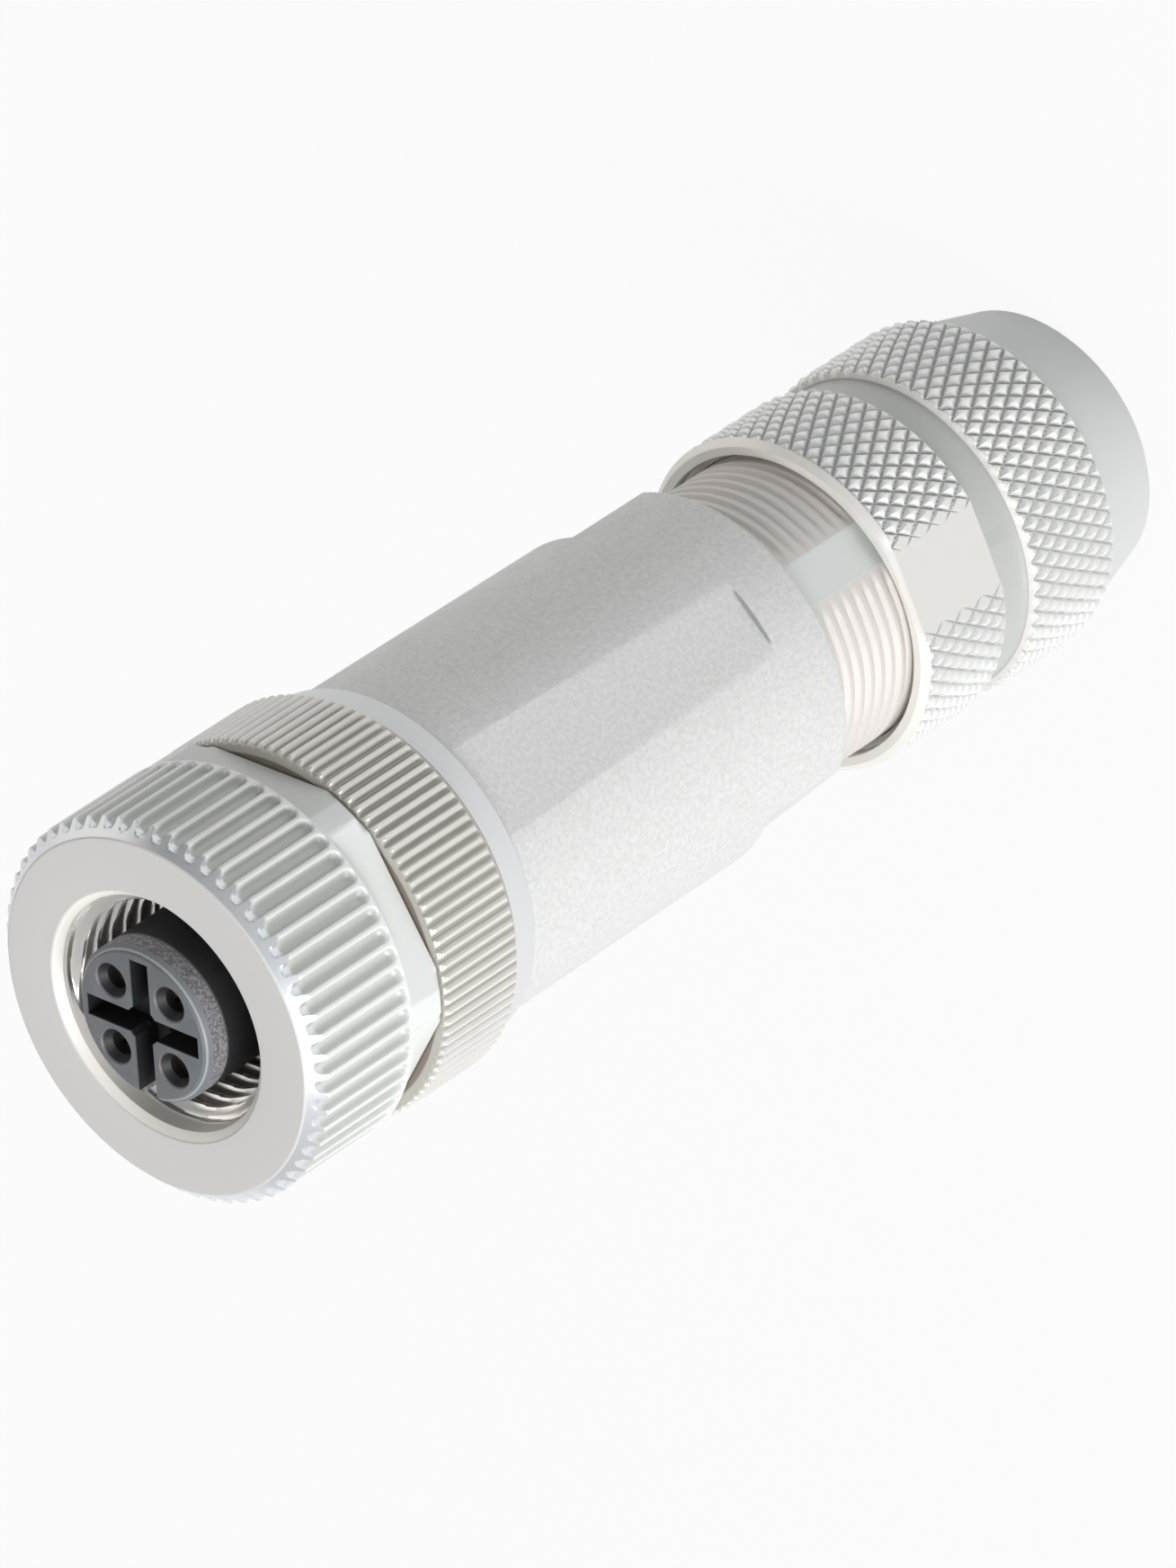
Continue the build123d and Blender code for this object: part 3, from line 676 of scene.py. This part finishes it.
def build_coupling_ring():
    """Ring with rounded flutes, hexagon, chamfered lead-in, M12 thread and rear bore."""
    columns = flute_columns()
    coarse = columns[::4]
    flute_end = HEX_TOP + 0.5 * MM
    chamfer_low = RING_FRONT - ring_chamfer
    rows = []
    outline = rounded([
        (ring_crest - 0.6 * MM, RING_REAR),
        (ring_crest - 0.4 * MM, RING_REAR, 0.05 * MM),
        (ring_crest, RING_REAR + 0.4 * MM, 0.05 * MM),
        (ring_crest, HEX_TOP - 0.03 * MM),
        (ring_crest, HEX_TOP),
        (ring_crest, flute_end),
        (ring_crest, chamfer_low, 0.12 * MM),
        (ring_crest - ring_chamfer, RING_FRONT, 0.08 * MM),
        (ring_crest - ring_chamfer - 0.15 * MM, RING_FRONT),
    ])
    outline = divided(outline, HEX_TOP, flute_end, 0.03 * MM)
    outline = divided(outline, flute_end, chamfer_low, 1.3 * MM)
    outline = divided(outline, chamfer_low - 0.1 * MM, RING_FRONT, 0.09 * MM)
    for radius, height in outline:
        rows.append((columns, ring_radii(columns, radius, height), height))
    inner = rounded([
        (ring_crest - 1.1 * MM, RING_FRONT),
        (lead_r + lead_bevel, RING_FRONT, 0.06 * MM),
        (lead_r, RING_FRONT - lead_bevel, 0.06 * MM),
        (lead_r, RING_FRONT - lead_bevel - 0.1 * MM),
    ])
    for radius, height in inner:
        rows.append((coarse, radius, height))
    thread_top = m12_top + 0.04 * MM
    count = int(round((thread_top - HEX_TOP) / m12_pitch * 15))
    for step in range(count + 1):
        height = thread_top - (thread_top - HEX_TOP) * step / count
        fade = smooth_step(height, HEX_TOP, HEX_TOP + 0.3 * MM)
        rows.append((coarse, m12_minor + (m12_radii(coarse, height) - m12_minor) * fade, height))
    for radius, height in [
        (ring_bore, HEX_TOP), (ring_bore, SNAP_HIGH), (ring_snap_r, SNAP_HIGH), (ring_snap_r, SNAP_LOW),
        (ring_bore, SNAP_LOW), (ring_bore, RING_REAR),
    ]:
        rows.append((coarse, radius, height))
    piece = ring_mesh("coupling_ring_fluted", rows, smooth_angle=40.0)
    dress(piece, "coupling_ring", "ring")


build_coupling_ring()


# Carrier sleeve

def carrier_radii(angles, radius, height):
    """Outer radius of the carrier with its straight fine teeth."""
    if height < COLLAR_TOP + 1e-7 or height > CARRIER_FACE + 1e-7:
        return np.broadcast_to(radius, angles.shape)
    turn = np.mod(angles * tooth_count / TAU, 1.0)
    profile = smooth_step(np.abs(turn - 0.5) * 2, 0.08, 0.80)
    run_out = smooth_step(height, COLLAR_TOP + 0.05 * MM, COLLAR_TOP + 0.5 * MM)
    return np.minimum(radius, carrier_crest - tooth_deep * (1 - profile) * run_out)


def build_carrier():
    """Knurled ring, smooth collar, front neck with its groove, and the threaded skirt."""
    columns = spread(tooth_count * 8)
    coarse = spread(tooth_count * 2)
    count = int(round((SEAL_SEAT - SKIRT_END) / fine_pitch * 10))
    rows = [(coarse, skirt_r - 0.45 * MM, SKIRT_END)]
    for step in range(1, count + 1):
        height = SKIRT_END + (SEAL_SEAT - SKIRT_END) * step / count
        fade = smooth_step(height, SEAL_SEAT, SEAL_SEAT - 0.5 * MM)
        end = smooth_step(height, SKIRT_END + 0.5 * MM, SKIRT_END)
        depth = np.maximum(thread_depth(height, coarse, fine_pitch) * fade, end)
        rows.append((coarse, skirt_r - 0.4 * MM * depth, height))
    rows.append((coarse, seal_groove_r, SEAL_SEAT))
    rows.append((coarse, seal_groove_r, HOUSING_TOP))
    rows.append((coarse, collar_r - 0.25 * MM, HOUSING_TOP))
    outline = rounded([
        (collar_r - 0.12 * MM, HOUSING_TOP),
        (collar_r, HOUSING_TOP + 0.12 * MM, 0.08 * MM),
        (collar_r, COLLAR_TOP, 0.05 * MM),
        (carrier_crest - 0.7 * MM + 0.001 * MM, COLLAR_TOP + 0.001 * MM),
        (carrier_crest, COLLAR_TOP + 0.7 * MM, 0.15 * MM),
        (carrier_crest, CARRIER_FACE - 0.2 * MM, 0.1 * MM),
        (carrier_crest - 0.2 * MM, CARRIER_FACE, 0.05 * MM),
        (carrier_crest - 0.5 * MM, CARRIER_FACE),
    ])
    outline = divided(outline, COLLAR_TOP, COLLAR_TOP + 0.8 * MM, 0.07 * MM)
    outline = divided(outline, COLLAR_TOP + 0.75 * MM, CARRIER_FACE - 0.2 * MM, 1.4 * MM)
    for radius, height in outline:
        rows.append((columns, carrier_radii(columns, radius, height), height))
    snap_r = carrier_neck - 0.5 * MM
    retainer_r = carrier_bore + retainer_deep
    for radius, height in [
        (carrier_neck, CARRIER_FACE), (carrier_neck, SNAP_LOW), (snap_r, SNAP_LOW), (snap_r, SNAP_HIGH),
        (carrier_neck, SNAP_HIGH), (carrier_neck, CARRIER_FRONT - 0.15 * MM),
        (carrier_neck - 0.15 * MM, CARRIER_FRONT), (nose_hole + 0.1 * MM, CARRIER_FRONT),
        (nose_hole, CARRIER_FRONT - 0.1 * MM), (nose_hole, insert_seat), (carrier_bore, insert_seat),
        (carrier_bore, retainer_high), (retainer_r, retainer_high), (retainer_r, retainer_low),
        (carrier_bore, retainer_low), (carrier_bore, SKIRT_END),
    ]:
        rows.append((coarse, radius, height))
    piece = ring_mesh("carrier_sleeve_knurled", rows)
    dress(piece, "carrier_sleeve", "carrier")


build_carrier()


# Housing

def housing_columns():
    """Angles round the housing, closer together at the edges of its flats."""
    angles = list(np.radians(np.arange(0, 360, 1.5)))
    edges = []
    for centre, half in ((0, 15.2), (180, 15.2), (90, 23.2), (270, 23.2), (0, 8.5), (180, 8.5)):
        for side in (-1, 1):
            for shift in (-0.45, -0.15, 0.15, 0.45):
                edges.append(math.radians((centre + side * half + shift) % 360))
    merged = sorted(angles + edges)
    kept = [merged[0]]
    for angle in merged[1:]:
        if angle - kept[-1] > math.radians(0.12):
            kept.append(angle)
    return np.array(kept)


def flat_reach(angles, centre, distance):
    """Distance from the axis to a flat that faces a given way, and far away elsewhere."""
    towards = np.cos(angles - centre)
    return np.where(towards > 0.5, distance / np.maximum(towards, 0.5), 1.0)


def housing_radii(angles, radius, height):
    """Outer radius of the housing's barrel with its two pairs of flats."""
    outer = np.broadcast_to(radius, angles.shape)
    if height > GRIP_LOW:
        for centre in (0.0, math.pi):
            outer = np.minimum(outer, flat_reach(angles, centre, grip_distance))
    if height < WRENCH_TOP:
        for centre in (math.pi / 2, -math.pi / 2):
            outer = np.minimum(outer, flat_reach(angles, centre, wrench_distance))
    return outer


def neck_radii(angles, height):
    """Radius of the threaded neck, with its blank lands towards +X and -X."""
    from_land = np.abs(np.mod(angles + math.pi / 2, math.pi) - math.pi / 2)
    blank = 1 - smooth_step(from_land, land_half, land_half + math.radians(11))
    fade = smooth_step(height, neck_thread_top, neck_thread_top - 0.4 * MM)
    depth = 0.20 * MM * thread_depth(height, angles, fine_pitch, 0.30, 0.10) * (1 - blank) * fade
    end = 0.5 * MM * smooth_step(height, NECK_END + 0.5 * MM, NECK_END)
    radii = neck_crest - np.maximum(depth, end)
    for centre in (0.0, math.pi):
        radii = np.minimum(radii, flat_reach(angles, centre, land_distance))
    return radii


def build_housing():
    """Round shell with its flats, the threaded neck, the wiring chamber and the front thread."""
    columns = housing_columns()
    rows = []
    count = int(round((neck_thread_top - NECK_END) / fine_pitch * 11))
    for step in range(count + 1):
        height = NECK_END + (neck_thread_top - NECK_END) * step / count
        rows.append((columns, neck_radii(columns, height), height))
    relief = neck_crest - 0.45 * MM
    rows.append((columns, relief, neck_thread_top + 0.05 * MM))
    rows.append((columns, relief, SHOULDER - 0.05 * MM))
    rows.append((columns, relief + 0.05 * MM, SHOULDER))
    outline = rounded([
        (housing_rear - 0.45 * MM, SHOULDER),
        (housing_rear, SHOULDER, 0.3 * MM),
        (housing_rear + 0.02 * MM, WRENCH_TOP - 2.4 * MM),
        (housing_rear + 0.03 * MM, GRIP_LOW),
        (housing_front, HOUSING_TOP, 0.12 * MM),
        (housing_front - 0.3 * MM, HOUSING_TOP),
    ], steps=6)
    stations = [SHOULDER + (HOUSING_TOP - SHOULDER) * share for share in np.linspace(0.3, 0.98, 12)]
    for edge in (GRIP_LOW, WRENCH_TOP):
        stations += [edge + shift * MM for shift in (-0.10, -0.05, -0.02, 0.02, 0.05, 0.10)]
    taper = (housing_front - housing_rear) / (HOUSING_TOP - SHOULDER)
    middle = [(housing_rear + (height - SHOULDER) * taper, height) for height in sorted(stations)]
    rear_end = [point for point in outline if point[1] < SHOULDER + 0.4 * MM]
    front_end = [point for point in outline if point[1] > HOUSING_TOP - 0.3 * MM]
    for radius, height in rear_end + middle + front_end:
        if height < SHOULDER + 0.35 * MM:
            radii = np.minimum(housing_radii(columns, 1.0, height) - (housing_rear - radius), radius)
        elif height > HOUSING_TOP - 0.3 * MM:
            inset = max(0.0, housing_front - radius - 0.001 * MM)
            radii = np.minimum(housing_radii(columns, 1.0, height) - inset, radius)
        else:
            radii = housing_radii(columns, radius, height)
        rows.append((columns, radii, height))
    for radius, height in [
        (mouth_r + 0.15 * MM, HOUSING_TOP), (mouth_r, HOUSING_TOP - 0.15 * MM), (mouth_r, SEAL_SEAT),
        (front_bore, SEAL_SEAT),
    ]:
        rows.append((columns, radius, height))
    front_low = SEAL_SEAT - 0.2 * MM
    count = int(round((front_low - chamber_top) / fine_pitch * 8))
    for step in range(count + 1):
        height = front_low - (front_low - chamber_top) * step / count
        fade = smooth_step(height, chamber_top, chamber_top + 0.4 * MM)
        depth = 0.2 * MM * thread_depth(height, columns, fine_pitch) * fade
        rows.append((columns, front_bore + depth, height))
    chamber_low = gland_top + gland_wall
    for radius, height in [
        (chamber_r, chamber_top), (chamber_r, chamber_low), (gland_hole, chamber_low),
        (gland_hole, gland_top), (gland_bore, gland_top), (gland_bore, NECK_END),
    ]:
        rows.append((columns, radius, height))
    piece = ring_mesh("housing_shell", rows, smooth_angle=28.0)
    dress(piece, "housing", "housing")


build_housing()


# Pressing nut

def knurl_radii(angles, height, band):
    """Outer radius of a diamond-knurled band, with its ends chamfered."""
    round_turn = angles * knurl_starts / TAU
    along = (height - band[0]) * knurl_periods / (band[1] - band[0])
    first = np.abs(np.mod(round_turn + along, 1.0) - 0.5) * 2
    second = np.abs(np.mod(round_turn - along, 1.0) - 0.5) * 2
    raised = 1 - np.maximum(first, second) ** 1.7
    radii = nut_crest - knurl_deep * (1 - raised)
    from_end = min(height - band[0], band[1] - height)
    return np.minimum(radii, nut_crest - 0.25 * MM + max(from_end, 0.0))


def with_nut_flats(angles, radii):
    """Radii of the nut's front band, cut by its pair of flats."""
    for side in (0.0, math.pi):
        radii = np.minimum(radii, flat_reach(angles, nut_flat_turn + side, nut_flat))
    return radii


def build_nut():
    """Nut with two diamond-knurled bands, the plain groove, the flats, the cone and its bores."""
    columns = spread(knurl_starts * 12)
    coarse = spread(knurl_starts * 3)
    thread_r = neck_crest + 0.05 * MM
    rows = []
    for radius, height in rounded([
        (cable_bore + cable_edge, 0.0), (nut_rear - nut_bevel, 0.0, 0.05 * MM),
        (nut_rear, nut_bevel, 0.1 * MM), (nut_cone, band_rear[0]),
    ]):
        rows.append((coarse, radius, height))
    for height in np.linspace(*band_rear, knurl_periods * 12 + 1):
        rows.append((columns, knurl_radii(columns, height, band_rear), height))
    rows.append((columns, nut_groove, band_rear[1] + 0.1 * MM))
    rows.append((columns, nut_groove, band_front[0] - 0.05 * MM))
    for height in np.linspace(*band_front, knurl_periods * 12 + 1):
        rows.append((columns, with_nut_flats(columns, knurl_radii(columns, height, band_front)), height))
    for radius, height in rounded([
        (nut_crest - 0.05 * MM, band_front[1] + 0.05 * MM), (nut_crest - 0.4 * MM, NUT_FRONT, 0.08 * MM),
        (nut_mouth, NUT_FRONT, 0.06 * MM), (nut_mouth, NUT_FRONT - 0.8 * MM),
        (thread_r, NUT_FRONT - 0.9 * MM),
    ]):
        radii = np.broadcast_to(radius, coarse.shape)
        if radius > nut_mouth + 0.05 * MM:
            radii = with_nut_flats(coarse, radii)
        rows.append((coarse, radii, height))
    thread_top = NUT_FRONT - 0.95 * MM
    thread_low = nut_bore_top + 0.3 * MM
    count = int(round((thread_top - thread_low) / fine_pitch * 6))
    for step in range(count + 1):
        height = thread_top - (thread_top - thread_low) * step / count
        fade = smooth_step(height, thread_low, thread_low + 0.4 * MM)
        depth = 0.12 * MM * thread_depth(height, coarse, fine_pitch) * fade
        rows.append((coarse, thread_r + depth, height))
    for radius, height in [
        (thread_r, nut_bore_top), (nut_bore, nut_bore_top), (nut_bore, nut_end_wall),
        (cable_bore, nut_end_wall), (cable_bore, cable_edge),
    ]:
        rows.append((coarse, radius, height))
    piece = ring_mesh("pressing_nut_knurled", rows)
    dress(piece, "pressing_nut", "nut")


build_nut()


# Floor, light and camera

floor_half = 3.0
floor_grey = (0.55, 0.55, 0.55)
floor_white_share = 0.93


def build_floor():
    """Plain pale floor; the camera and mirrors see it nearly white, with a faint shadow."""
    mesh = bpy.data.meshes.new("floor")
    corners = [(-floor_half, -floor_half, 0), (floor_half, -floor_half, 0), (floor_half, floor_half, 0),
               (-floor_half, floor_half, 0)]
    mesh.from_pydata(corners, [], [(0, 1, 2, 3)])
    floor = bpy.data.objects.new("floor", mesh)
    bpy.context.scene.collection.objects.link(floor)
    made, nodes, links, shader = material("pale_floor", floor_grey, 0.0, 0.9)
    shader.inputs["Specular IOR Level"].default_value = 0.0
    glow = nodes.new("ShaderNodeEmission")
    glow.inputs["Color"].default_value = (1, 1, 1, 1)
    path = nodes.new("ShaderNodeLightPath")
    seen = nodes.new("ShaderNodeMath")
    seen.operation = "MAXIMUM"
    links.new(path.outputs["Is Camera Ray"], seen.inputs[0])
    links.new(path.outputs["Is Glossy Ray"], seen.inputs[1])
    seen_all = nodes.new("ShaderNodeMath")
    seen_all.operation = "MAXIMUM"
    links.new(seen.outputs[0], seen_all.inputs[0])
    links.new(path.outputs["Is Transmission Ray"], seen_all.inputs[1])
    share = nodes.new("ShaderNodeMath")
    share.operation = "MULTIPLY"
    share.inputs[1].default_value = floor_white_share
    links.new(seen_all.outputs[0], share.inputs[0])
    mixed = nodes.new("ShaderNodeMixShader")
    links.new(share.outputs[0], mixed.inputs["Fac"])
    links.new(shader.outputs[0], mixed.inputs[1])
    links.new(glow.outputs[0], mixed.inputs[2])
    links.new(mixed.outputs[0], nodes["Material Output"].inputs["Surface"])
    mesh.materials.append(made)


def build_world():
    """Surroundings: bright towards -Y and above, dim towards +Y, with a warm patch between -X and +Y."""
    world = bpy.data.worlds.new("surroundings")
    bpy.context.scene.world = world
    world.use_nodes = True
    nodes = world.node_tree.nodes
    links = world.node_tree.links
    coords = nodes.new("ShaderNodeTexCoord")
    towards = nodes.new("ShaderNodeVectorMath")
    towards.operation = "DOT_PRODUCT"
    towards.inputs[1].default_value = Vector((0.25, -0.80, 0.55)).normalized()
    links.new(coords.outputs["Generated"], towards.inputs[0])
    level = nodes.new("ShaderNodeMapRange")
    level.inputs["From Min"].default_value = -0.7
    level.inputs["From Max"].default_value = 0.9
    level.inputs["To Min"].default_value = 0.02
    level.inputs["To Max"].default_value = 0.58
    links.new(towards.outputs["Value"], level.inputs["Value"])
    background = nodes["Background"]
    background.inputs["Color"].default_value = (1, 1, 1, 1)
    links.new(level.outputs["Result"], background.inputs["Strength"])
    aside = nodes.new("ShaderNodeVectorMath")
    aside.operation = "DOT_PRODUCT"
    aside.inputs[1].default_value = Vector((-0.42, 0.82, 0.27)).normalized()
    links.new(coords.outputs["Generated"], aside.inputs[0])
    patch = nodes.new("ShaderNodeBackground")
    patch.inputs["Color"].default_value = (1.0, 0.95, 0.90, 1)
    links.new(ramp_up(nodes, links, aside.outputs["Value"], 0.84, 0.95), patch.inputs["Strength"])
    both = nodes.new("ShaderNodeAddShader")
    links.new(background.outputs[0], both.inputs[0])
    links.new(patch.outputs[0], both.inputs[1])
    links.new(both.outputs[0], nodes["World Output"].inputs["Surface"])


def add_lamp(name, spot, aim, size, power):
    """Square soft lamp at a spot, pointing at another."""
    lamp = bpy.data.lights.new(name, "AREA")
    lamp.shape = "SQUARE"
    lamp.size = size
    lamp.energy = power
    holder = bpy.data.objects.new(name, lamp)
    holder.location = spot
    holder.rotation_euler = (Vector(aim) - Vector(spot)).to_track_quat("-Z", "Y").to_euler()
    bpy.context.scene.collection.objects.link(holder)


def build_camera():
    """Camera of the photograph, solved from the connector's own circles."""
    turn = math.radians(-3.2)
    eye = Matrix.Rotation(turn, 3, "Z") @ Vector((741.1, 0.0, 634.4)) * MM
    target = Matrix.Rotation(turn, 3, "Z") @ Vector((0.0, -1.91, 35.15)) * MM
    roll = math.radians(-123.17)
    forward = (target - eye).normalized()
    right_level = forward.cross(Vector((0, 0, 1))).normalized()
    up_level = right_level.cross(forward)
    right = math.cos(roll) * right_level + math.sin(roll) * up_level
    up = -math.sin(roll) * right_level + math.cos(roll) * up_level
    camera = bpy.data.cameras.new("camera")
    camera.sensor_width = 36.0
    camera.lens = 463.9
    camera.clip_end = 20.0
    holder = bpy.data.objects.new("camera", camera)
    holder.matrix_world = Matrix((
        (right.x, up.x, -forward.x, eye.x),
        (right.y, up.y, -forward.y, eye.y),
        (right.z, up.z, -forward.z, eye.z),
        (0, 0, 0, 1),
    ))
    bpy.context.scene.collection.objects.link(holder)
    bpy.context.scene.camera = holder


build_floor()
build_world()
middle = (0, 0, 0.035)
add_lamp("key_lamp", (0.40, -0.70, 0.50), middle, 0.45, 6.7)
add_lamp("top_lamp", (-0.05, 0.0, 0.95), middle, 0.5, 1.8)
build_camera()
bpy.context.scene.view_settings.view_transform = "Standard"
